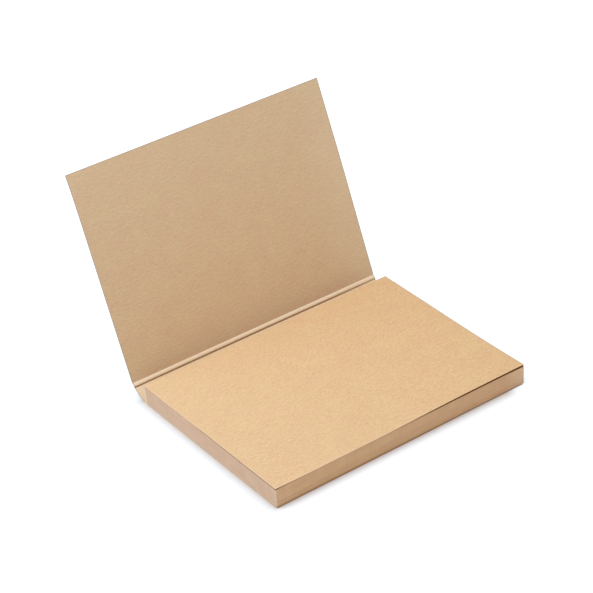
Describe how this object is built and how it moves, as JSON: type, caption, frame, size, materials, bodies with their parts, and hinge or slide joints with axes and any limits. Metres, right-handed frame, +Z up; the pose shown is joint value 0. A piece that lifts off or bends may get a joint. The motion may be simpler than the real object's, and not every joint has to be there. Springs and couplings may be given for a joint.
{
  "type": "notepad",
  "caption": "Small landscape note pad: a glued block of plain kraft sheets in a creased kraft card cover that hinges open at the spine and stands up behind the block.",
  "frame": {"origin": "under the middle of the note block, on the underside of the back cover, where the pad rests", "axes": "+X along the spine, +Y from the block's front edge to its glued edge and the open cover, +Z up"},
  "size_m": [0.1006, 0.1068, 0.0718],
  "materials": {
    "kraft_paper": "uncoated, fine brown fibres",
    "kraft_card": "uncoated, fine brown fibres"
  },
  "bodies": {
    "pad": {"note_block": "kraft_paper", "back_cover": "kraft_card"},
    "spine_fold": {"spine": "kraft_card"},
    "cover": {"front_cover": "kraft_card"}
  },
  "joints": [
    {"name": "spine_crease", "type": "hinge", "parent": "pad", "child": "spine_fold", "pos_m": [0, 0.0368, 0.0004], "axis": [1, 0, 0], "range_deg": [-33.5, 56.5]},
    {"name": "cover_crease", "type": "hinge", "parent": "spine_fold", "child": "cover", "pos_m": [0, 0.04281, 0.00491], "axis": [1, 0, 0], "range_deg": [-34.1, 55.9]}
  ]
}
